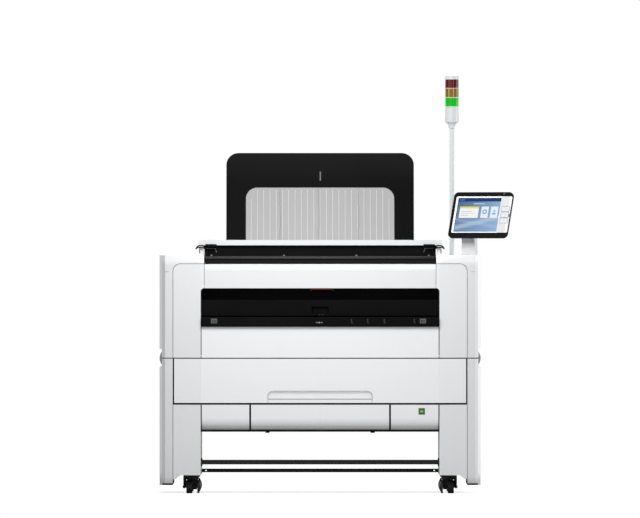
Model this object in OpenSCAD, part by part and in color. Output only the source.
// Large format plotter: an upright printer on four castors with a pull-out drawer for two
// media rolls, a feed-through scanner, a delivery tray, an operator panel and a signal light.
// The front faces -Y and up is +Z. The origin is on the floor, under the middle of the whole box.

/* [Body] */
// Width of each tower, from the opening to the outer side
tower_w = 179; // [173:1:200]
// Depth from the centre of the front to the rear cover
body_d = 786; // [770:1:850]
// Width of the band that a side cover shows beside the drawer front
band_w = 57.5; // [52:0.5:60]
// Skin thickness of the moulded covers
wall = 3; // [2.5:0.1:3.5]
// Visible joint between front panels
joint_gap = 4; // [3.5:0.1:4.5]
// How far the front slopes back from the centre to the flare of a side cover
tower_setback = 34; // [26:1:38]
// Width of the flare at the outer front edge of a side cover
flare_w = 24; // [18:1:30]
// Depth of that flare
flare_d = 36; // [28:1:42]
// Radius where a side cover rolls over at its top and bottom
roll_r = 38; // [32:1:42]
// Radius of the outer top corner of a tower panel
tower_corner_r = 32; // [24:1:40]
// Radius of the scanner mouth's upper corners
mouth_corner_r = 14; // [10:1:14]

/* [Heights] */
// Floor to the underside of the legs
leg_z = 80; // [80:1:84]
// Floor to the lower edge of the side covers
side_z = 37; // [30:1:45]
// Floor to the underside of the printer body
belly_z = 268; // [262:1:275]
// Height of the three lower covers
lower_h = 115; // [108:1:122]
// Height of the drawer front
drawer_h = 194; // [190:1:210]
// Height of the front flap
flap_h = 134; // [128:1:144]
// Height of the feed table's front lip
table_h = 39; // [36:1:44]
// Height of the scanner mouth above the feed table
mouth_h = 125; // [122:1:135]
// Height of the top front cover
top_cover_h = 105; // [98:1:115]
// Height of the black guide bar in front of the delivery slot
guide_h = 30; // [27:1:34]
// Height of the throat between the tower tops and the deck
throat_h = 43; // [41:1:50]
// Thickness of the deck's edge
deck_t = 23; // [20:1:28]

/* [Frame] */
// Sheet thickness of the side plates
plate_t = 3; // [2.5:0.1:4]
// Height of the base beams that the castors bolt to
beam_h = 32; // [28:1:36]
// Width of a base beam
beam_w = 80; // [74:1:86]
// Side of a square upright
upright_w = 40; // [34:1:46]
// Height and depth of the upper stretcher
stretcher_h = 20; // [16:1:24]
// Height of the lower stretcher
lower_bar_h = 16; // [14:1:20]
// Diameter of the two accessory holes in the lower stretcher
bar_hole_d = 6.5; // [6:0.5:9]
// Distance from a leg to the accessory hole beside it
bar_hole_inset = 18; // [17:1:47]

/* [Castors] */
// Wheel diameter
wheel_d = 58; // [54:1:60]
// Width of the outer wheel
wheel_w = 27; // [24:1:28]
// Width of the domed inner wheel
inner_wheel_w = 16; // [13:1:17]
// Distance from a leg's inner face to the swivel axes under it
castor_inset = 26; // [23:1:29]
// Distance from the front to the front swivel axes
castor_front_in = 100; // [96:1:130]
// Distance from the rear cover to the rear swivel axes
castor_rear_in = 116; // [112:1:140]
// How far the wheels trail behind the swivel axis
trail = 22; // [18:1:24]
// Diameter of the axle and of the swivel pin
castor_pin_d = 10; // [8:0.5:11]

/* [Drawer] */
// Width of the media on a roll
media_w = 914; // [880:1:1070]
// Room between the media and a side of the drawer box
roll_room = 33; // [30:1:36]
// Room for the telescopic rails on each side of the drawer box
rail_room = 27; // [25:1:30]
// Depth of the drawer box
box_d = 486; // [480:1:510]
// Outside diameter of a media roll
roll_d = 150; // [140:1:160]
// Bore of a roll's cardboard core
core_d = 76; // [70:1:80]
// Diameter of the journals that a roll turns on
journal_d = 25; // [20:1:28]
// Distance between the axes of the two rolls
roll_pitch = 190; // [176:1:196]
// Half width of the grip in the drawer front
grip_half = 228; // [180:1:260]
// Height of the grip's scoop
grip_h = 33; // [28:1:38]

/* [Scanner] */
// How far the feed table stands out in front of the body
table_reach = 18; // [12:1:24]
// Height of the slot that an original goes through
slot_h = 6; // [5.6:0.1:8]
// Height of the scanner cover
lid_h = 68; // [60:1:72]
// Depth of the scanner cover
lid_d = 112; // [100:1:114]
// Diameter of the scanner's transport roller
scan_roller_d = 20; // [18:1:22]

/* [Print engine] */
// Diameter of the imaging drum
drum_d = 84; // [70:1:90]
// Diameter of the fuser's two rollers
fuser_d = 38; // [30:1:40]

/* [Tray] */
// Width of the delivery tray
tray_w = 820; // [780:1:840]
// Length of the tray along its slope
tray_l = 395; // [360:1:420]
// Lean of the tray behind the vertical
tray_lean = 15; // [8:1:20]
// Radius of the tray's upper corners
tray_r = 54; // [40:1:65]
// Width of the ribbed insert
ribs_w = 648; // [600:1:680]
// Length of the ribbed insert along the slope
ribs_l = 237; // [220:1:260]
// Distance between ribs
rib_pitch = 27.4; // [24:0.1:32]
// How far the deck's top edge reaches past the opening on each side
deck_over = 9; // [6:1:15]

/* [Signal light] */
// Height from the tower top to the lamp base
pole_h = 551; // [480:1:600]
// Pole diameter
pole_d = 20; // [18:1:24]
// Diameter of the lamp modules
lens_d = 58; // [50:1:64]
// Height of one lamp module
lens_h = 40; // [34:1:46]
// Distance from the opening to the pole's axis
pole_inset = 56; // [48:1:68]

/* [Operator panel] */
// Width of the panel
panel_w = 285; // [282:1:294]
// Height of the panel
panel_h = 210; // [202:1:220]
// Thickness of the panel
panel_t = 30; // [26:1:34]
// Angle that the panel is turned towards the operator
panel_turn = 27; // [15:1:35]
// Angle that the panel leans back
panel_lean = 20; // [10:1:28]
// Distance from the opening to the neck's axis
neck_inset = 132; // [123:1:138]
// Width of the neck
neck_w = 62; // [56:1:66]
// Depth of the neck
neck_d = 29; // [25:1:32]
// Visible width of the screen
screen_w = 208; // [196:1:210]
// Visible height of the screen
screen_h = 156; // [146:1:158]
// Width of a panel key
key_w = 38; // [32:1:40]
// Height of a key, mm
key_h = 24; // [20:1:25]

/* [Hidden] */
$fn = 64;

// Clearances
seat_gap = 0.3;     // between a moving piece and what it rests on
pin_gap = 0.08;     // radial, round a turning pin
slide_gap = 0.5;    // between telescoping rails
eps = 1;            // overrun of a cutter
far = 2000;         // longer than any piece

// Widths grow outwards from the media: drawer box, opening, towers
box_w = media_w + 2 * roll_room;
opening_w = box_w + 2 * rail_room;
body_w = opening_w + 2 * tower_w;
front_w = body_w - 2 * band_w;
deck_w = opening_w + 2 * deck_over;
bar_hole_pitch = opening_w - 2 * bar_hole_inset;

// Stations across the machine, measured from its centre line
half_w = body_w / 2;
open_half = opening_w / 2;
fold_half = open_half - 2;
flare_x = half_w - flare_w;
seam_x = front_w / 2;
panel_x = seam_x - joint_gap / 2;
cover_half = open_half - mouth_corner_r - 2;
tower_in = cover_half + 2;
plate_in = open_half + wall;
plate_out = plate_in + plate_t;
castor_x = open_half + castor_inset;
pole_x = open_half + pole_inset;
neck_x = open_half + neck_inset;

// Stations along the depth
front_y = -body_d / 2;
rear_y = body_d / 2;
frame_front = front_y + 28;
frame_rear = rear_y - 28;
leg_rear = rear_y - 30;
cover_rear = rear_y - 4;
castor_front_y = front_y + castor_front_in;
castor_rear_y = rear_y - castor_rear_in;
slope_a = atan2(tower_setback, flare_x - fold_half);

// Stations up the machine
toe_z = leg_z - 17;
belly_t = 4;
lower_z0 = belly_z + belly_t;
lower_z1 = lower_z0 + lower_h;
drawer_z0 = lower_z1 + joint_gap;
drawer_z1 = drawer_z0 + drawer_h;
flap_z0 = drawer_z1 + joint_gap;
waist_z = (drawer_z1 + flap_z0) / 2;
flap_z1 = flap_z0 + flap_h;
table_z0 = flap_z1 + 3;
table_z1 = table_z0 + table_h;
mouth_z1 = table_z1 + mouth_h;
top_z1 = mouth_z1 + top_cover_h;
guide_z0 = top_z1 + 5;
guide_z1 = guide_z0 + guide_h;
tower_z = guide_z1 + wall;
deck_z0 = tower_z + throat_h;
deck_z1 = deck_z0 + deck_t;
engine_z = flap_z0 + 11;
frame_z1 = top_z1 - 1;

// Operator panel: its swivel axis, its tilt axis and how far it reaches out
neck_y = front_y + 170;
tilt_h = 117;
tilt_z = tower_z + tilt_h;
panel_off_x = 72;
panel_off_z = 41.5;
panel_back = 26;
reach_x = neck_x + (panel_off_x + panel_w / 2) * cos(panel_turn)
    - panel_back * cos(panel_lean) * sin(panel_turn)
    + (panel_off_z + panel_h / 2) * sin(panel_lean) * sin(panel_turn);

// The origin sits under the middle of the whole box, with the panel and the feed table
origin_x = (reach_x - half_w) / 2;
origin_y = -table_reach / 2;

// ---------------------------------------------------------------- helpers

// Depth of the front face at a distance x from the centre line
function face_y(x) = front_y + max(0, abs(x) - fold_half) * tan(slope_a);

function reversed(v) = [for (i = [len(v) - 1 : -1 : 0]) v[i]];

// Puts a machine-centred piece into the part's own frame
module placed() translate([-origin_x, -origin_y, 0]) children();

module left() mirror([1, 0, 0]) children();

module both() {
    children();
    left() children();
}

module box(x0, x1, y0, y1, z0, z1) translate([x0, y0, z0]) cube([x1 - x0, y1 - y0, z1 - z0]);

// Extrudes an outline drawn in Y and Z along X
module along_x(x0, x1) translate([x0, 0, 0]) rotate([90, 0, 90]) linear_extrude(x1 - x0) children();

// Extrudes an outline drawn in X and Z along Y
module along_y(y0, y1) translate([0, y1, 0]) rotate([90, 0, 0]) linear_extrude(y1 - y0) children();

// Round bars along X and along Y
module rod_x(x0, x1, y, z, d) translate([x0, y, z]) rotate([0, 90, 0]) cylinder(d = d, h = x1 - x0);
module rod_y(x, z, y0, y1, d) translate([x, y0, z]) rotate([-90, 0, 0]) cylinder(d = d, h = y1 - y0);

module rect(x0, x1, y0, y1) translate([x0, y0]) square([x1 - x0, y1 - y0]);

// A rectangle with its two upper corners rounded
module arched(x0, x1, y0, y1, r) {
    rect(x0, x1, y0, y1 - r);
    rect(x0 + r, x1 - r, y0, y1);
    for (x = [x0 + r, x1 - r]) translate([x, y1 - r]) circle(r = r);
}

// A rectangle with all its corners rounded
module rounded(x0, x1, y0, y1, r) {
    rect(x0, x1, y0 + r, y1 - r);
    rect(x0 + r, x1 - r, y0, y1);
    for (x = [x0 + r, x1 - r], y = [y0 + r, y1 - r]) translate([x, y]) circle(r = r);
}

// A wall that follows the front face from x0 to x1, between depths d0 and d1 behind it
module front_wall(x0, x1, z0, z1, d0, d1) {
    xs = concat([x0], [for (f = [-fold_half, fold_half]) if (x0 < f && f < x1) f], [x1]);
    translate([0, 0, z0]) linear_extrude(z1 - z0) polygon(concat(
        [for (x = xs) [x, face_y(x) + d0]],
        [for (x = reversed(xs)) [x, face_y(x) + d1]]
    ));
}

// ---------------------------------------------------------------- base

stretcher_z = leg_z + beam_h + 14;
stretcher_y = castor_front_y - upright_w / 2;
bar_z = leg_z + 3.5;
bar_y = castor_rear_y - 20;
bar_t = 8;
seat_t = 4;
seat_pin_l = 13;
seat_half = 32;
beam_front = face_y(plate_in + beam_w) + wall + 20;
beam_rear = leg_rear - 15;
upright_z1 = drawer_z1 - 20;

// The base beams with a seat plate and a swivel pin for each castor, and the uprights
module base_frame() color("#202224") both() {
    box(plate_in, plate_in + beam_w, beam_front, beam_rear, leg_z, leg_z + beam_h);
    for (y = [castor_front_y, castor_rear_y]) {
        box(plate_out, plate_out + upright_w, y - upright_w / 2, y + upright_w / 2,
            leg_z + beam_h, upright_z1);
        box(plate_in, plate_in + beam_w - 8, y - seat_half, y + seat_half, leg_z - seat_t, leg_z);
        translate([castor_x, y, leg_z - seat_t - seat_pin_l])
            cylinder(d = castor_pin_d, h = seat_pin_l + eps);
    }
}

// The front beam between the uprights, and the rear bar with the two accessory holes
module stretchers() color("#151617") {
    flange = 7;
    box(-plate_out, plate_out, stretcher_y, stretcher_y + stretcher_h,
        stretcher_z, stretcher_z + stretcher_h);
    both() box(open_half - flange, open_half, stretcher_y - flange, stretcher_y + stretcher_h + flange,
        stretcher_z - flange, stretcher_z + stretcher_h + flange);
    difference() {
        box(-plate_in, plate_in, bar_y, bar_y + bar_t, bar_z, bar_z + lower_bar_h);
        both() rod_y(bar_hole_pitch / 2, bar_z + lower_bar_h / 2, bar_y - eps, bar_y + bar_t + eps,
            bar_hole_d);
    }
}

module leg_covers() color("#d8d9da") both() difference() {
    union() {
        front_wall(open_half, panel_x, toe_z, lower_z1, 0, wall);
        box(open_half, open_half + wall, front_y + wall / 2, leg_rear, leg_z, belly_z);
        box(open_half, panel_x, leg_rear - wall, leg_rear, leg_z, belly_z);
    }
    // Only the outer edge of the front reaches down to the toe
    along_y(front_y - eps, rear_y) polygon([
        [open_half - eps, toe_z - eps], [panel_x - 11, toe_z - eps], [panel_x - 11, toe_z],
        [panel_x - 30, leg_z], [open_half - eps, leg_z]
    ]);
    // Passages for the two stretchers
    box(open_half - eps, plate_in + eps, stretcher_y, stretcher_y + stretcher_h,
        stretcher_z, stretcher_z + stretcher_h);
    box(open_half - eps, plate_in + eps, bar_y, bar_y + bar_t, bar_z, bar_z + lower_bar_h);
}

// ---------------------------------------------------------------- castors

// A castor is drawn with its swivel axis at X = Y = 0, its wheels trailing towards +Y and the
// outer side of the machine at +X
hub_d = 36;
hub_z1 = leg_z - seat_t - 0.5;
hub_z0 = hub_z1 - 12;
axle_z = wheel_d / 2;
arm_half = 9.5;
wheel_gap = 1;
outer_x0 = arm_half + wheel_gap;
outer_x1 = outer_x0 + wheel_w;
bracket_x0 = outer_x1 + 5;
bracket_t = 8;
bracket_x1 = bracket_x0 + bracket_t;
brake_y = -8;
brake_z = wheel_d + 5;
brake_pin_d = 5;
brake_x0 = hub_d / 2 + 2;
brake_x1 = brake_x0 + 14;
arm_top = 14;

// Side view of an arm from the swivel hub down to the axle
module arm_view(foot_r) {
    polygon([
        [-arm_top, hub_z1], [-arm_top, hub_z0], [trail - foot_r, axle_z], [trail + foot_r, axle_z],
        [arm_top, hub_z1]
    ]);
    translate([trail, axle_z]) circle(r = foot_r);
}

module castor_fork() color("#17181a") difference() {
    union() {
        translate([0, 0, hub_z0]) cylinder(d = hub_d, h = hub_z1 - hub_z0);
        along_x(-arm_half, arm_half) arm_view(12);
        // Bracket over the outer wheel, down to the end of the axle
        box(-arm_half, bracket_x1, -arm_top, arm_top, hub_z1 - 7, hub_z1);
        along_x(bracket_x0, bracket_x1) arm_view(8);
        rod_x(-arm_half - wheel_gap - inner_wheel_w + 2, bracket_x1 + 3, trail, axle_z, castor_pin_d);
        rod_x(arm_half - eps, bracket_x0 + eps, brake_y, brake_z, brake_pin_d);
    }
    translate([0, 0, hub_z0 - eps])
        cylinder(d = castor_pin_d + 2 * pin_gap, h = hub_z1 - hub_z0 + 2 * eps);
}

// The outer wheel and the domed inner wheel turn together on the axle
module castor_wheels() color("#242527") {
    r = wheel_d / 2;
    difference() {
        union() {
            translate([outer_x0, trail, axle_z]) rotate([0, 90, 0]) rotate_extrude() difference() {
                rounded(-r, r, 0, wheel_w, 4);
                rect(-far, 0, -eps, far);
            }
            translate([-arm_half - wheel_gap, trail, axle_z]) rotate([0, -90, 0]) rotate_extrude()
                intersection() {
                    union() {
                        rect(0, r, 0, inner_wheel_w / 2);
                        translate([0, inner_wheel_w - r * 1.4]) circle(r = r * 1.4, $fn = 128);
                    }
                    rect(0, r, 0, inner_wheel_w);
                }
        }
        rod_x(-arm_half - wheel_gap - inner_wheel_w + 2 - pin_gap, bracket_x1, trail, axle_z,
            castor_pin_d + 2 * pin_gap);
    }
}

module brake_lever() color("#2a2b2d") {
    difference() {
        along_x(brake_x0, brake_x1) {
            translate([brake_y, brake_z]) circle(d = 10);
            rect(brake_y, trail + 48, brake_z - 1, brake_z + 4);
        }
        rod_x(brake_x0 - eps, brake_x1 + eps, brake_y, brake_z, brake_pin_d + 2 * pin_gap);
    }
    // Foot pad
    box(brake_x0 - 7, brake_x1 + 7, trail + 34, trail + 54, brake_z, brake_z + 5);
}

module at_castor(y) translate([castor_x, y, 0]) children();

// ---------------------------------------------------------------- body frame

path_y0 = front_y + 252;
path_y1 = path_y0 + 24;
drum_depth = 333;
drum_y = front_y + drum_depth;
drum_z = engine_z + 200;
drum_shaft_d = 12;
fuser_y = front_y + 200;
fuser_z = mouth_z1 + 45;
fuser_pin_d = 12;
jamb_rear = front_y + 62;
window_half = 320;
window_z0 = engine_z + 20;
window_z1 = frame_z1 - 90;
top_rail_w = 60;
groove_depth = 10;
groove_half = 40;
wing_t = 2;
wing_x1 = half_w - groove_depth - wall;
wing_z0 = drawer_z0 + 10;
wing_z1 = frame_z1 - 60;

// Floor, rear wall, the shelf between the drawer bay and the print engine, and the top rails
module body_frame() color("#8d9296") difference() {
    union() {
        box(-plate_in, plate_in, jamb_rear, frame_rear, belly_z, belly_z + belly_t);
        box(-plate_in, plate_in, jamb_rear, frame_rear, engine_z, engine_z + plate_t);
        box(-plate_in, plate_in, frame_rear - plate_t, frame_rear, belly_z, frame_z1);
        for (y = [jamb_rear, frame_rear - top_rail_w])
            box(-plate_in, plate_in, y, y + top_rail_w, frame_z1 - plate_t, frame_z1);
        // Rubber bumpers under the front edge
        both() translate([grip_half, jamb_rear + 13, belly_z - 5]) cylinder(d = 18, h = 5 + eps);
    }
    // Media path from the drawer up to the drum
    box(-media_w / 2 - 10, media_w / 2 + 10, path_y0, path_y1, engine_z - eps, engine_z + plate_t + eps);
    // Service window in the rear wall
    box(-window_half, window_half, frame_rear - plate_t - eps, frame_rear + eps, window_z0, window_z1);
}

// Each side plate has two wings that reach the side covers behind their trim channel
module side_plates() color("#8d9296") both() difference() {
    union() {
        box(plate_in, plate_out, frame_front, frame_rear, belly_z, frame_z1);
        for (y = [front_y + 170, rear_y - 170 - wing_t])
            box(plate_out - eps, wing_x1, y, y + wing_t, wing_z0, wing_z1);
    }
    // Drum bearing
    rod_x(plate_in - eps, plate_out + eps, drum_y, drum_z, drum_shaft_d + 2 * pin_gap);
}

// ---------------------------------------------------------------- side covers and towers

trim_half_h = 28;

// The block inside a right-hand side cover's skin, its faces moved in by inset
module side_block(x_in, z0, z1, inset) {
    flare_y = face_y(flare_x) + flare_d;
    translate([0, 0, z0]) linear_extrude(z1 - z0) polygon([
        [x_in, face_y(x_in) + inset],
        if (x_in < fold_half) [fold_half, front_y + inset],
        [flare_x - inset / 2, face_y(flare_x - inset / 2) + inset],
        [half_w - inset, flare_y + inset / 2],
        [half_w - inset, cover_rear - inset],
        [x_in, cover_rear - inset]
    ]);
}

// Side view of a cover from z0 to z1, its upper corners rounded, moved in by inset
module side_view(z0, z1, inset)
    arched(front_y + inset, cover_rear - inset, z0, z1 - inset, roll_r - inset);

// A hollow cover whose skin steps in behind the channel along the seam at groove_z
module side_shell(x_in, z0, z1, groove_z) difference() {
    intersection() {
        side_block(x_in, z0, z1, 0);
        along_x(x_in, half_w) side_view(z0, z1, 0);
    }
    difference() {
        intersection() {
            side_block(x_in - eps, z0 - eps, z1, wall);
            along_x(x_in - 2 * eps, half_w) side_view(z0 - eps, z1, wall);
        }
        side_groove(groove_z, wall);
    }
    side_groove(groove_z, 0);
}

module side_groove(z, grow) along_y(front_y - eps, rear_y + eps)
    rect(half_w - groove_depth - grow, half_w + far, z - groove_half - grow, z + groove_half + grow);

neck_pin_d = 24;
neck_pin_l = 15;

module side_covers_upper() color("#e6e7e8") difference() {
    both() difference() {
        side_shell(tower_in, flap_z0, tower_z, waist_z);
        // Window that the tower panel fills, with its rounded outer corner
        along_y(front_y - eps, jamb_rear)
            arched(-seam_x, seam_x, flap_z0 - eps, top_z1 + 2, tower_corner_r + 2);
    }
    // Bearing for the pin under the panel's neck
    translate([neck_x, neck_y, tower_z - wall - eps])
        cylinder(d = neck_pin_d + 2 * pin_gap, h = wall + 2 * eps);
}

// The lower cover is the same shell, turned over
module side_covers_lower() color("#dcddde") both()
    translate([0, 0, side_z + drawer_z1]) mirror([0, 0, 1])
        side_shell(seam_x, side_z, drawer_z1, side_z + drawer_z1 - waist_z);

module side_trims() color("#cfd0d2") both()
    along_y(face_y(flare_x) + flare_d + 6, cover_rear - 6) intersection() {
        translate([half_w - trim_half_h * 1.6, waist_z]) circle(r = trim_half_h * 1.6, $fn = 128);
        rect(half_w - groove_depth, half_w, waist_z - trim_half_h, waist_z + trim_half_h);
    }

hinge_pin_d = 6;
door_pin_y = front_y + 5;
door_pin_rise = 9;
cover_pin_z = mouth_z1 + door_pin_rise;
flap_pin_z = flap_z0 + door_pin_rise;

module tower_panels() color("#e2e3e4") both() difference() {
    union() {
        difference() {
            front_wall(tower_in, panel_x, flap_z0, top_z1, 0, wall);
            along_y(front_y - eps, rear_y) {
                arched(-open_half, open_half, 0, mouth_z1, mouth_corner_r);
                // Rounded outer corner
                difference() {
                    rect(panel_x - tower_corner_r, far, top_z1 - tower_corner_r, far);
                    translate([panel_x - tower_corner_r, top_z1 - tower_corner_r])
                        circle(r = tower_corner_r);
                }
            }
        }
        // Jambs beside the flap, the scanner mouth and the top front cover
        box(open_half, plate_in, front_y + wall / 2, jamb_rear, flap_z0, mouth_z1 + wall);
        box(tower_in, plate_in, front_y + wall / 2, jamb_rear, mouth_z1, mouth_z1 + wall);
        box(tower_in, tower_in + wall, front_y + wall / 2, jamb_rear, mouth_z1, top_z1);
    }
    rod_x(0, plate_in, door_pin_y, flap_pin_z, hinge_pin_d + 2 * pin_gap);
    rod_x(0, plate_in, door_pin_y, cover_pin_z, hinge_pin_d + 2 * pin_gap);
}

rear_half = panel_x;
rear_top_half = tower_in - 2;
rear_z1 = tower_z - 3;
vent_x0 = 60;
vent_x1 = 420;
vent_pitch = 14;
vent_z = engine_z + 160;
socket_x0 = -260;
socket_x1 = -90;
socket_z0 = engine_z + 30;
socket_z1 = socket_z0 + 80;

module rear_outline(inset) {
    rect(-rear_half + inset, rear_half - inset, lower_z0 + inset, drawer_z1 - inset);
    rect(-rear_top_half + inset, rear_top_half - inset, drawer_z1 - 2 * inset - eps, rear_z1 - inset);
}

module rear_cover() color("#c9cacc") difference() {
    along_y(frame_rear, rear_y) rear_outline(0);
    along_y(frame_rear - eps, rear_y - wall) rear_outline(wall);
    // Cooling slots and the window for the sockets
    for (z = [vent_z : vent_pitch : vent_z + 9.5 * vent_pitch])
        box(vent_x0, vent_x1, rear_y - wall - eps, rear_y + eps, z, z + 6);
    box(socket_x0, socket_x1, rear_y - wall - eps, rear_y + eps, socket_z0, socket_z1);
}

// ---------------------------------------------------------------- lower front

lower_r = 55;
bottom_in = 306;
door_half = bottom_in - 7;
rib_t = 3;
lower_pin_y = front_y + 46;
lower_pin_z = lower_z0 + 12;
button_x = open_half - 77;
button_z = lower_z1 - 30;
button_w = 18;
button_travel = 1.5;
button_gap = 0.3;

// Side view of a lower cover: upright in front, rolling under at the bottom
module lower_view(inset, depth) difference() {
    rect(front_y + inset, front_y + depth, lower_z0 + inset, lower_z1 - inset);
    difference() {
        rect(front_y - eps, front_y + lower_r, lower_z0 - eps, lower_z0 + lower_r);
        translate([front_y + lower_r, lower_z0 + lower_r]) circle(r = lower_r - inset);
    }
}

module lower_shell(x0, x1, depth) difference() {
    along_x(x0, x1) lower_view(0, depth);
    along_x(x0 + rib_t, x1 - rib_t) {
        lower_view(wall, depth + eps);
        rect(front_y + lower_r, front_y + depth + eps, lower_z0 + wall, lower_z1 - wall);
    }
}

module lower_covers() color("#dedfe0") difference() {
    both() lower_shell(bottom_in, open_half - joint_gap, lower_r + 12);
    // Hinge holes for the door, and the hole of the power button
    rod_x(-bottom_in - rib_t - eps, bottom_in + rib_t + eps, lower_pin_y, lower_pin_z,
        hinge_pin_d + 2 * pin_gap);
    h = button_w / 2 + button_gap;
    box(button_x - h, button_x + h, front_y - eps, front_y + wall + eps, button_z - h, button_z + h);
}

module lower_door() color("#dedfe0") {
    lower_shell(-door_half, door_half, lower_r - 6);
    both() rod_x(door_half - rib_t, bottom_in + rib_t, lower_pin_y, lower_pin_z, hinge_pin_d);
}

module power_button() color("#35c24a") {
    h = button_w / 2;
    box(button_x - h, button_x + h, front_y - button_travel - eps, front_y + wall + 5,
        button_z - h, button_z + h);
    box(button_x - h - 3, button_x + h + 3, front_y + wall + button_gap, front_y + wall + 3,
        button_z - h - 3, button_z + h + 3);
}

// ---------------------------------------------------------------- front flap and top cover

flap_half = open_half - joint_gap + 0.5;
flap_top_d = 20;
flap_bottom_d = 34;
top_r = 28;
cover_depth = 33;

module front_flap() color("#e4e5e6") {
    box(-flap_half, flap_half, front_y, front_y + wall, flap_z0, flap_z1);
    box(-flap_half, flap_half, front_y, front_y + flap_top_d, flap_z1 - wall, flap_z1);
    box(-flap_half, flap_half, front_y, front_y + flap_bottom_d, flap_z0, flap_z0 + wall);
    for (x = [-flap_half, -flap_half / 3, flap_half / 3 - rib_t, flap_half - rib_t])
        box(x, x + rib_t, front_y, front_y + flap_top_d, flap_z0, flap_z1);
    both() rod_x(flap_half - rib_t, plate_in, door_pin_y, flap_pin_z, hinge_pin_d);
}

// Side view of the top front cover, moved in by inset
module cover_view(inset) difference() {
    rect(front_y + inset, front_y + cover_depth, mouth_z1 + inset, top_z1 - inset);
    difference() {
        rect(front_y - eps, front_y + top_r, top_z1 - top_r, top_z1 + eps);
        translate([front_y + top_r, top_z1 - top_r]) circle(r = top_r - inset);
    }
}

module top_front_cover() color("#efeff0") {
    difference() {
        along_x(-cover_half, cover_half) cover_view(0);
        along_x(-cover_half + rib_t, cover_half - rib_t) {
            cover_view(wall);
            rect(front_y + cover_depth - eps, front_y + cover_depth + eps, mouth_z1 + wall, top_z1 - wall);
        }
    }
    both() rod_x(cover_half - rib_t, tower_in + wall, door_pin_y, cover_pin_z, hinge_pin_d);
}

// ---------------------------------------------------------------- scanner

liner_half = open_half - 3;
table_half = liner_half;
lid_half = liner_half - 2;
lid_y0 = front_y + 15;
lid_y1 = lid_y0 + lid_d;
lid_z0 = table_z1 + slot_h;
lid_z1 = lid_z0 + lid_h;
lid_pin_y = lid_y1 - 7;
lid_pin_z = lid_z1 - 7;
lid_pin_d = 8;
liner_rear = lid_y1 + 9;
pull_w = 74;
pull_h = 36;
pull_depth = 12;
pull_z0 = lid_z0 + 3;
table_rear = front_y + 92;
lip_d = 40;
trough_w = scan_roller_d + 4;
scan_y = table_rear + trough_w / 2;
scan_z = table_z1 - scan_roller_d / 2 - 0.2;
scan_pin_d = 8;

module feed_table() color("#16171a") difference() {
    union() {
        along_x(-table_half, table_half) {
            rounded(front_y - table_reach, front_y + lip_d, table_z0, table_z1, 4);
            rect(front_y + lip_d / 2, table_rear, table_z1 - 12, table_z1);
        }
    }
    along_x(-table_half + rib_t, table_half - rib_t)
        rect(front_y - table_reach + wall + 2, front_y + lip_d - wall, table_z0 - eps, table_z1 - 6);
}

module scanner_bed() color("#101113") difference() {
    union() {
        // Cheeks that line the mouth, its back wall and its ceiling
        both() box(liner_half, open_half, front_y + wall + 1, liner_rear + wall, table_z0, mouth_z1);
        box(-open_half, open_half, liner_rear, liner_rear + wall, table_z0, mouth_z1);
        box(-open_half, open_half, front_y + cover_depth + 8, liner_rear + wall,
            mouth_z1 - wall, mouth_z1);
        // Bed under the scanner cover, with the trough of the roller
        box(-open_half, open_half, table_rear, liner_rear + wall, table_z1 - 32, table_z1);
        box(-open_half, open_half, liner_rear, path_y0 - 20, table_z1 - 60, table_z1 - 12);
        both() box(open_half, plate_in, front_y + 66, liner_rear, table_z0, mouth_z1);
    }
    box(-media_w / 2 - 10, media_w / 2 + 10, table_rear - eps, table_rear + trough_w,
        table_z1 - 28, table_z1 + eps);
    rod_x(-far, far, scan_y, scan_z, scan_pin_d + 2 * pin_gap);
    rod_x(-far, far, lid_pin_y, lid_pin_z, lid_pin_d + 2 * pin_gap);
}

module scan_cover() color("#0c0d0e") {
    difference() {
        box(-lid_half, lid_half, lid_y0, lid_y1, lid_z0, lid_z1);
        box(-lid_half + wall, lid_half - wall, lid_y0 + pull_depth + wall, lid_y1 + eps,
            lid_z0 + wall, lid_z1 - wall);
        // U-shaped pull in the front
        along_y(lid_y0 - eps, lid_y0 + pull_depth) translate([0, 2 * pull_z0 + pull_h]) mirror([0, 1])
            arched(-pull_w / 2, pull_w / 2, pull_z0, pull_z0 + pull_h, 16);
    }
    both() rod_x(lid_half - wall, plate_in, lid_pin_y, lid_pin_z, lid_pin_d);
}

module scan_roller() color("#3a3c3f") {
    rod_x(-media_w / 2, media_w / 2, scan_y, scan_z, scan_roller_d);
    rod_x(-plate_in, plate_in, scan_y, scan_z, scan_pin_d);
}

// ---------------------------------------------------------------- delivery

guide_y0 = front_y + 36;
guide_y1 = guide_y0 + 12;
delivery_d = 16;
slot_y1 = guide_y1 + 10;
exit_y = slot_y1 + delivery_d / 2;
exit_z = guide_z1 - 3;
delivery_half = 3;
exit_pin_d = 8;
cheek_x0 = cover_half - 13;
cheek_x1 = cover_half - 4;
band_y = exit_y + delivery_d / 2 + 4;
deck_y0 = slot_y1 + 2;
deck_y1 = rear_y - 60;
skirt_x1 = tower_in - 1;
lever_pin_y = deck_y0 + 8;
lever_pin_z = deck_z0 - 10;
lever_pin_d = 6;
block_x0 = tower_in + 3;
block_x1 = block_x0 + 20;
deck_slant = 6;

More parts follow.
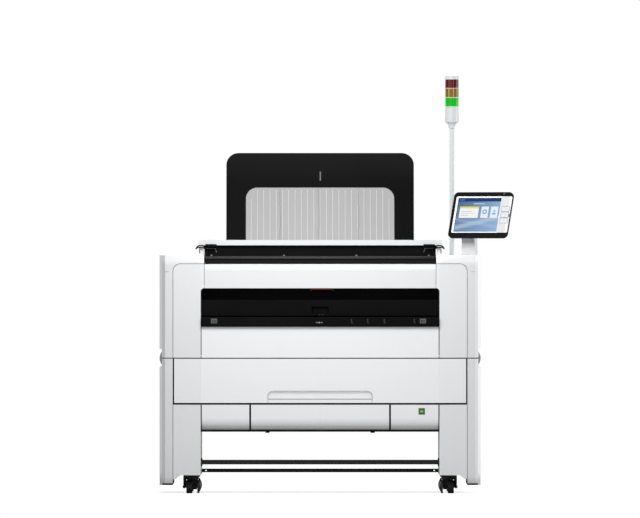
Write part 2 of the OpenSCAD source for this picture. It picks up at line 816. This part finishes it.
// Guide bar, cheeks with the roller's bearings, and the band behind the slot
module exit_unit() color("#17181a") difference() {
    union() {
        along_x(-cheek_x1, cheek_x1) {
            rect(guide_y0, guide_y1, top_z1 - 15, guide_z1 - 10);
            translate([guide_y1 - 12, guide_z1 - 12]) intersection() {
                circle(r = 12);
                rect(-12, 12, 0, 12);
            }
            rect(guide_y0 + 2, guide_y1, guide_z0, guide_z1 - 4);
        }
        both() box(cheek_x0, cheek_x1, guide_y0 + 3, band_y + 20, frame_z1, deck_z0 - 28);
        box(-cheek_x1, cheek_x1, band_y, band_y + wall, frame_z1, deck_z0);
        box(-cheek_x1, cheek_x1, front_y + 60, band_y + 20, frame_z1, frame_z1 + wall);
    }
    rod_x(-far, far, exit_y, exit_z, exit_pin_d + 2 * pin_gap);
}

module delivery_roller() color("#e8e8e6") {
    rod_x(-cheek_x1, cheek_x1, exit_y, exit_z, exit_pin_d);
    pitch = (cheek_x0 - 17) / 3;
    for (i = [-3 : 2 : 3])
        rod_x(i * pitch - delivery_half, i * pitch + delivery_half, exit_y, exit_z, delivery_d);
}

// Front view of the white hood that carries the tray; its feet stand on the tower tops
module deck_section(z0, inset) polygon([
    [-deck_w / 2 - deck_slant + inset, z0], [deck_w / 2 + deck_slant - inset, z0],
    [deck_w / 2 - inset, deck_z1 - inset], [-deck_w / 2 + inset, deck_z1 - inset]
]);

module deck() color("#f2f2f2") difference() {
    union() {
        difference() {
            along_y(deck_y0, deck_y1) deck_section(deck_z0, 0);
            along_y(deck_y0 + wall, deck_y1 - wall) deck_section(deck_z0 - eps, wall);
        }
        both() {
            box(block_x0, block_x1, lever_pin_y - 6, lever_pin_y + 50, tower_z, deck_z1 - wall / 2);
            box(skirt_x1 - wall, skirt_x1, band_y + 22, deck_y1, frame_z1, deck_z1 - wall / 2);
        }
        box(-skirt_x1, skirt_x1, deck_y1 - wall, deck_y1, frame_z1, deck_z1 - wall / 2);
    }
    rod_x(-far, far, lever_pin_y, lever_pin_z, lever_pin_d + 2 * pin_gap);
}

// Lever with a black clip in front of the deck's edge and a wing at its outer end
module tray_lever() color("#0f1012") {
    y0 = lever_pin_y - 20;
    along_y(y0, y0 + 6) {
        rect(cheek_x0 - 40, cheek_x1, deck_z0 - 5, deck_z0 + 5);
        rect(cheek_x1 - eps, block_x1 + 4, deck_z0 - 11, deck_z0 - 6);
        rect(cheek_x1 - 10, cheek_x1 + 2, deck_z0 - 11, deck_z0);
        polygon([[block_x1 + 2, deck_z0 - 6], [block_x1 + 2, deck_z0 - 11], [block_x1 + 12, deck_z0 - 18],
            [block_x1 + 15, deck_z0 - 15]]);
    }
    box(tower_in - 3, tower_in + 2, y0, lever_pin_y, lever_pin_z - 3, lever_pin_z + 4);
    rod_x(tower_in - 3, tower_in + 2, lever_pin_y, lever_pin_z, 12);
    rod_x(tower_in - 3, block_x1, lever_pin_y, lever_pin_z, lever_pin_d);
}

tray_setback = 243;
tray_y = rear_y - tray_setback;
tray_t = 8;
insert_t = 3;
rib_w = 3;
rib_h = 3;
ribs_end = 12;
ribs_end_outer = 52;
foot_y1 = tray_y + 60;
foot_t = 4;
gusset_x = tray_w / 2 - 80;
gusset_h = 90;

// Leans what is drawn upright at Y = 0 back about the tray's foot
module leaned() translate([0, tray_y, deck_z1]) rotate([-tray_lean, 0, 0]) children();

module tray_back() color("#121315") {
    difference() {
        leaned() along_y(0, tray_t) arched(-tray_w / 2, tray_w / 2, -tray_t, tray_l, tray_r);
        box(-far, far, -far, far, deck_z1 - 50, deck_z1);
    }
    // Foot and gussets on the deck
    box(-tray_w / 2 + 5, tray_w / 2 - 5, tray_y + 3, foot_y1, deck_z1, deck_z1 + foot_t);
    both() along_x(gusset_x - 3, gusset_x + 3) polygon([
        [tray_y + 6, deck_z1 + eps], [foot_y1 - 2, deck_z1 + eps], [foot_y1 - 20, deck_z1 + gusset_h],
        [tray_y + 6 + gusset_h * tan(tray_lean), deck_z1 + gusset_h]
    ]);
}

module tray_ribs() color("#bfc0c2") {
    n = floor((ribs_w / 2 - 20) / rib_pitch);
    difference() {
        leaned() {
            along_y(-insert_t, 0) arched(-ribs_w / 2, ribs_w / 2, -tray_t, ribs_l, 50);
            for (i = [-n : n]) along_y(-insert_t - rib_h, -insert_t + 0.5)
                rect(i * rib_pitch - rib_w / 2, i * rib_pitch + rib_w / 2, -tray_t,
                    ribs_l - (abs(i) < n ? ribs_end : ribs_end_outer));
        }
        box(-far, far, -far, far, deck_z1 - 50, deck_z1);
    }
}

// ---------------------------------------------------------------- drawer

front_depth = 24;
drawer_half = panel_x - 3;
box_y0 = front_y + front_depth;
box_y1 = box_y0 + box_d;
box_half = box_w / 2;
box_floor = drawer_z0 + 12;
roll_z = box_floor + wall + roll_d / 2 + 5;
box_wall_h = roll_z + 50 - box_floor;
roll_front_y = (box_y0 + box_y1 - roll_pitch) / 2;
roll_rear_y = roll_front_y + roll_pitch;
grip_z0 = drawer_z0 + 21;
grip_top_depth = 6;
grip_depth = 18;
grip_pocket = 9;
grip_r = 24;
rib_inset = 32;

// The grip's arched scoop with its sloping back and the pocket behind its lip, grown by t
module grip_form(t, ahead) intersection() {
    along_y(front_y - far, front_y + far)
        arched(-grip_half - t, grip_half + t, grip_z0 - grip_pocket - t, grip_z0 + grip_h + t, grip_r + t);
    along_x(-far, far) polygon([
        [front_y - ahead, grip_z0 - grip_pocket - t],
        [front_y + grip_depth + t, grip_z0 - grip_pocket - t],
        [front_y + grip_depth + t, grip_z0],
        [front_y + grip_top_depth + t, grip_z0 + grip_h + t],
        [front_y - ahead, grip_z0 + grip_h + t]
    ]);
}

module drawer_front() color("#e3e4e6") difference() {
    union() {
        front_wall(-drawer_half, drawer_half, drawer_z0, drawer_z1, 0, wall);
        front_wall(-drawer_half, drawer_half, drawer_z1 - wall, drawer_z1, 0, front_depth);
        front_wall(-drawer_half, drawer_half, drawer_z0, drawer_z0 + wall, 0, front_depth);
        for (s = [-1, 1]) front_wall(s * (drawer_half - 1.5) - 1.5, s * (drawer_half - 1.5) + 1.5,
            drawer_z0, drawer_z1, 0, front_depth);
        both() for (x = [grip_half + rib_inset, open_half - 3 * rib_inset])
            box(x, x + rib_t, front_y + 1, front_y + front_depth, drawer_z0, drawer_z1);
        // Housing of the grip's scoop
        grip_form(wall, -wall / 2);
    }
    difference() {
        grip_form(0, eps);
        // Lip that the fingers hook behind
        box(-far, far, front_y - 1, front_y + grip_top_depth, 0, grip_z0);
    }
}

rail_z = drawer_z0 + 46;
rail_y0 = frame_front + 3;
rail_l = 470;
rail_half_h = 18;
middle_x0 = box_half + 13.5;
middle_x1 = plate_in - 3 - slide_gap;
middle_half_h = rail_half_h - 3 - slide_gap;
inner_half_h = middle_half_h - 3 - slide_gap;

module drawer_box() color("#a3a8ac") difference() {
    union() {
        box(-box_half, box_half, box_y0, box_y1, box_floor, box_floor + wall);
        box(-box_half, box_half, box_y0, box_y0 + wall, box_floor, drawer_z1 - 30);
        box(-box_half, box_half, box_y1 - wall, box_y1, box_floor, box_floor + box_wall_h);
        both() {
            box(box_half - wall, box_half, box_y0, box_y1, box_floor, box_floor + box_wall_h);
            // Inner member of the telescopic rail
            box(box_half - eps, middle_x1 - 3 - slide_gap, rail_y0 + 2, rail_y0 + rail_l,
                rail_z - inner_half_h, rail_z + inner_half_h);
        }
    }
    // Open cradles for the journals of the two rolls
    cradle_r = journal_d / 2 + pin_gap;
    both() for (y = [roll_front_y, roll_rear_y]) {
        rod_x(box_half - wall - eps, box_half + eps, y, roll_z, 2 * cradle_r);
        box(box_half - wall - eps, box_half + eps, y - cradle_r, y + cradle_r, roll_z, roll_z + 60);
    }
}

// A C-section rail, open towards the machine's centre
module rail_c(x0, x1, half_h, y0, y1) difference() {
    box(x0, x1, y0, y1, rail_z - half_h, rail_z + half_h);
    box(x0 - eps, x1 - 3, y0 - eps, y1 + eps, rail_z - half_h + 3, rail_z + half_h - 3);
}

module drawer_rails_fixed() color("#9aa0a4") both()
    rail_c(middle_x0 + 2, plate_in, rail_half_h, rail_y0, rail_y0 + rail_l);

module drawer_rails_middle() color("#b4b9bd") both()
    rail_c(middle_x0, middle_x1, middle_half_h, rail_y0 + 1, rail_y0 + rail_l);

// Paper on a core, with a hub and a journal at each end
module media_roll(y) {
    hub_l = 14;
    rod_x(-media_w / 2, media_w / 2, y, roll_z, roll_d);
    rod_x(-media_w / 2 - hub_l, media_w / 2 + hub_l, y, roll_z, core_d);
    rod_x(-box_half, box_half, y, roll_z, journal_d);
}

// ---------------------------------------------------------------- print engine

roller_half = media_w / 2 + 23;
nip_gap = 0.4;
pressure_y = fuser_y - fuser_d - nip_gap;

module imaging_drum() color("#3f7f86") {
    rod_x(-roller_half, roller_half, drum_y, drum_z, drum_d);
    rod_x(-plate_out, plate_out, drum_y, drum_z, drum_shaft_d);
}

head_half = 25;
head_h = 30;
developer_d = 125;
developer_h = 85;

// The printhead above the drum, and the developer behind it
module imaging_unit() color("#2c2e31") {
    head_z = drum_z + drum_d / 2 + 6;
    developer_z = drum_z + 35 - developer_h;
    box(-plate_in, plate_in, drum_y - head_half, drum_y + head_half, head_z, head_z + head_h);
    box(-media_w / 2, media_w / 2, drum_y - 6, drum_y + 6, head_z - 4, head_z + eps);
    difference() {
        box(-plate_in, plate_in, drum_y + head_half, drum_y + head_half + developer_d,
            developer_z, developer_z + developer_h);
        rod_x(-roller_half - 4, roller_half + 4, drum_y, drum_z, drum_d + 6);
        rod_x(-far, far, drum_y, drum_z, 3 * drum_shaft_d);
    }
}

// Housing, open above and below the nip, with a bearing for each roller in its end plates
module fuser_unit() color("#5b5e61") difference() {
    y0 = pressure_y - fuser_d / 2 - 8;
    y1 = fuser_y + fuser_d / 2 + 8;
    z0 = fuser_z - fuser_d / 2 - 8;
    z1 = fuser_z + fuser_d / 2 + 8;
    box(-plate_in, plate_in, y0, y1, z0, z1);
    box(-roller_half - 12, roller_half + 12, y0 + wall, y1 - wall, z0 - eps, z1 + eps);
    for (y = [fuser_y, pressure_y]) rod_x(-far, far, y, fuser_z, fuser_pin_d + 2 * pin_gap);
}

module fuser_roll(y) {
    rod_x(-roller_half, roller_half, y, fuser_z, fuser_d);
    rod_x(-plate_in, plate_in, y, fuser_z, fuser_pin_d);
}

controller_half = 300;
controller_h = 240;
controller_y = rear_y - 190;

// Controller on the engine shelf, with the mains inlet and sockets in the rear cover's window
module controller_box() color("#6f7477") difference() {
    z0 = engine_z + plate_t;
    union() {
        box(-controller_half, controller_half, controller_y, frame_rear - plate_t - 10,
            z0, z0 + controller_h);
        box(socket_x0 + 2, socket_x1 - 2, frame_rear - plate_t - 11, rear_y - 8,
            socket_z0 + 2, socket_z1 - 2);
    }
    // Mains inlet, network and service sockets
    box(socket_x0 + 14, socket_x0 + 41, rear_y - 30, rear_y, socket_z0 + 20, socket_z0 + 40);
    box(socket_x0 + 70, socket_x0 + 86, rear_y - 22, rear_y, socket_z0 + 22, socket_z0 + 36);
    for (i = [0, 1]) box(socket_x0 + 105 + i * 24, socket_x0 + 119 + i * 24, rear_y - 22, rear_y,
        socket_z0 + 24, socket_z0 + 31);
}

// ---------------------------------------------------------------- signal light

pole_y = front_y + 250;
lamp_z0 = tower_z + pole_h;
lamp_base_z = lamp_z0 + 24;
lens_z0 = lamp_base_z + 69;
cap_z0 = lens_z0 + 3 * lens_h;
stem_d = 22;
lamp_neck_d = 29;
lamp_neck_h = 12;
lamp_round = 6;

module turned(z0, z1, d) translate([pole_x, pole_y, z0]) cylinder(d = d, h = z1 - z0);

module signal_pole() color("#e9eaeb") {
    turned(tower_z, tower_z + 2, pole_d + 3);
    turned(tower_z, lamp_z0, pole_d);
}

module signal_head() color("#d9dadb") {
    // Neck, flare and base with its rounded lower edge
    translate([pole_x, pole_y]) rotate_extrude() polygon([
        [0, lamp_z0], [lamp_neck_d / 2, lamp_z0], [lamp_neck_d / 2, lamp_z0 + lamp_neck_h],
        [lens_d / 2 - 1.6 * lamp_round, lamp_base_z - 1], [lens_d / 2 - lamp_round, lamp_base_z],
        [lens_d / 2 - 0.3 * lamp_round, lamp_base_z + 0.3 * lamp_round],
        [lens_d / 2, lamp_base_z + lamp_round], [lens_d / 2, lens_z0 - 6], [0, lens_z0 - 6]
    ]);
    turned(lens_z0 - 6, lens_z0, lens_d - 4);
    turned(lens_z0, cap_z0 + eps, stem_d);
    turned(cap_z0, cap_z0 + 15, lens_d);
}

module signal_lens(i) difference() {
    turned(lens_z0 + i * lens_h, lens_z0 + (i + 1) * lens_h, lens_d);
    turned(lens_z0 + i * lens_h - eps, lens_z0 + (i + 1) * lens_h + eps, stem_d + 2 * seat_gap);
}

// ---------------------------------------------------------------- operator panel

// The panel is drawn facing -Y, upright, with its tilt axis along X through the origin
tilt_pin_d = 10;
ear_t = 12;
lug_half = neck_w / 2 - ear_t - seat_gap;
case_y1 = -panel_back;
case_y0 = case_y1 - panel_t + 4;
bezel_y0 = case_y1 - panel_t;
centre_x = panel_off_x;
centre_z = panel_off_z;
screen_x = centre_x - 14.5;
screen_z = centre_z;
key_x = centre_x + 117.5;
key_pitch = key_h + 3;
key_gap = 0.4;
key_travel = 1.2;
panel_corner = 20;
// The case is a shallow tray behind the bezel, with a smaller box for the electronics on its back
rim_t = 7;
back_inset = 16;
post_d = 8;

module at_neck() translate([neck_x, neck_y, tower_z]) rotate([0, 0, -panel_turn]) children();
module at_panel() at_neck() translate([0, 0, tilt_h]) rotate([-panel_lean, 0, 0]) children();

module panel_outline(inset)
    rounded(centre_x - panel_w / 2 + inset, centre_x + panel_w / 2 - inset,
        centre_z - panel_h / 2 + inset, centre_z + panel_h / 2 - inset, panel_corner - inset);

module panel_neck() color("#e9eaeb") at_neck() {
    ear_z = tilt_h - 17;
    box(-neck_w / 2, neck_w / 2, -neck_d / 2, neck_d / 2, 0, ear_z);
    translate([0, 0, -neck_pin_l]) cylinder(d = neck_pin_d, h = neck_pin_l + eps);
    for (s = [-1, 1]) along_x(s * (neck_w - ear_t) / 2 - ear_t / 2, s * (neck_w - ear_t) / 2 + ear_t / 2) {
        rect(-10, 10, ear_z - eps, tilt_h);
        translate([0, tilt_h]) circle(r = 10);
    }
    rod_x(-neck_w / 2, neck_w / 2, 0, tilt_h, tilt_pin_d);
}

module back_outline(inset)
    rounded(centre_x - panel_w / 2 + back_inset + inset, centre_x + panel_w / 2 - back_inset - inset,
        centre_z - panel_h / 2 + back_inset + inset, centre_z + panel_h / 2 - back_inset - inset,
        panel_corner - inset);

module panel_case() color("#26282a") at_panel() {
    difference() {
        union() {
            along_y(case_y0, case_y0 + rim_t) panel_outline(0);
            along_y(case_y0, case_y1) back_outline(0);
        }
        // Recess that the bezel closes
        along_y(case_y0 - eps, case_y0 + rim_t - wall) panel_outline(wall);
        along_y(case_y0 - eps, case_y1 - wall) back_outline(wall);
    }
    // Posts behind the bezel and the lug on the tilt pin
    for (x = [-1, 0, 1], z = [-1, 1])
        rod_y(centre_x + x * (panel_w / 2 - 20), centre_z + z * (panel_h / 2 - 13),
            case_y0, case_y0 + rim_t, post_d);
    difference() {
        union() {
            rod_x(-lug_half, lug_half, 0, 0, 22);
            box(-lug_half, lug_half, case_y1 - eps, 0, -11, 11);
        }
        rod_x(-lug_half - eps, lug_half + eps, 0, 0, tilt_pin_d + 2 * pin_gap);
    }
}

module panel_bezel() color("#101113") at_panel() difference() {
    along_y(bezel_y0, case_y0) panel_outline(0);
    along_y(bezel_y0 - eps, case_y0 + eps) {
        rect(screen_x - screen_w / 2, screen_x + screen_w / 2,
            screen_z - screen_h / 2, screen_z + screen_h / 2);
        w = key_w / 2 + key_gap;
        h = key_h / 2 + key_gap;
        for (z = [screen_z - key_pitch, screen_z, screen_z + key_pitch])
            rect(key_x - w, key_x + w, z - h, z + h);
    }
}

module panel_screen() color("#9fc3dd") at_panel()
    box(screen_x - screen_w / 2 - 3, screen_x + screen_w / 2 + 3, case_y0, case_y0 + 3,
        screen_z - screen_h / 2 - 3, screen_z + screen_h / 2 + 3);

module panel_key(i) color("#c9cbcd") at_panel() {
    z = screen_z + i * key_pitch;
    w = key_w / 2;
    h = key_h / 2;
    box(key_x - w, key_x + w, bezel_y0 - 1, case_y0 + 2, z - h, z + h);
    box(key_x - w - 1, key_x + w + 1, case_y0 + seat_gap, case_y0 + 2, z - h - 1, z + h + 1);
}

// ---------------------------------------------------------------- what is drawn

placed() base_frame();
placed() stretchers();
placed() leg_covers();
placed() body_frame();
placed() side_plates();
placed() left() at_castor(castor_front_y) castor_fork();  // castor_fork_front_left
placed() at_castor(castor_front_y) castor_fork();  // castor_fork_front_right
placed() left() at_castor(castor_rear_y) castor_fork();  // castor_fork_rear_left
placed() at_castor(castor_rear_y) castor_fork();  // castor_fork_rear_right
placed() left() at_castor(castor_front_y) castor_wheels();  // castor_wheels_front_left
placed() at_castor(castor_front_y) castor_wheels();  // castor_wheels_front_right
placed() left() at_castor(castor_rear_y) castor_wheels();  // castor_wheels_rear_left
placed() at_castor(castor_rear_y) castor_wheels();  // castor_wheels_rear_right
placed() left() at_castor(castor_front_y) brake_lever();  // brake_lever_left
placed() at_castor(castor_front_y) brake_lever();  // brake_lever_right
placed() side_covers_upper();
placed() side_covers_lower();
placed() side_trims();
placed() tower_panels();
placed() rear_cover();
placed() lower_covers();
placed() lower_door();
placed() power_button();
placed() front_flap();
placed() top_front_cover();
placed() feed_table();
placed() scanner_bed();
placed() scan_cover();
placed() scan_roller();
placed() exit_unit();
placed() delivery_roller();
placed() deck();
placed() tray_back();
placed() tray_ribs();
placed() left() tray_lever();  // tray_lever_left
placed() tray_lever();  // tray_lever_right
placed() drawer_front();
placed() drawer_box();
placed() drawer_rails_fixed();
placed() drawer_rails_middle();
placed() color("#f4f3ee") media_roll(roll_front_y);  // media_roll_front
placed() color("#f4f3ee") media_roll(roll_rear_y);  // media_roll_rear
placed() imaging_drum();
placed() imaging_unit();
placed() fuser_unit();
placed() color("#7d3f36") fuser_roll(fuser_y);  // fuser_roller
placed() color("#d8d4cc") fuser_roll(pressure_y);  // pressure_roller
placed() controller_box();
placed() signal_pole();
placed() signal_head();
placed() color("#a3312a") signal_lens(2);  // signal_lens_red
placed() color("#b5651d") signal_lens(1);  // signal_lens_amber
placed() color("#2fe04a") signal_lens(0);  // signal_lens_green
placed() panel_neck();
placed() panel_case();
placed() panel_bezel();
placed() panel_screen();
placed() panel_key(1);  // panel_key_upper
placed() panel_key(0);  // panel_key_middle
placed() panel_key(-1);  // panel_key_lower
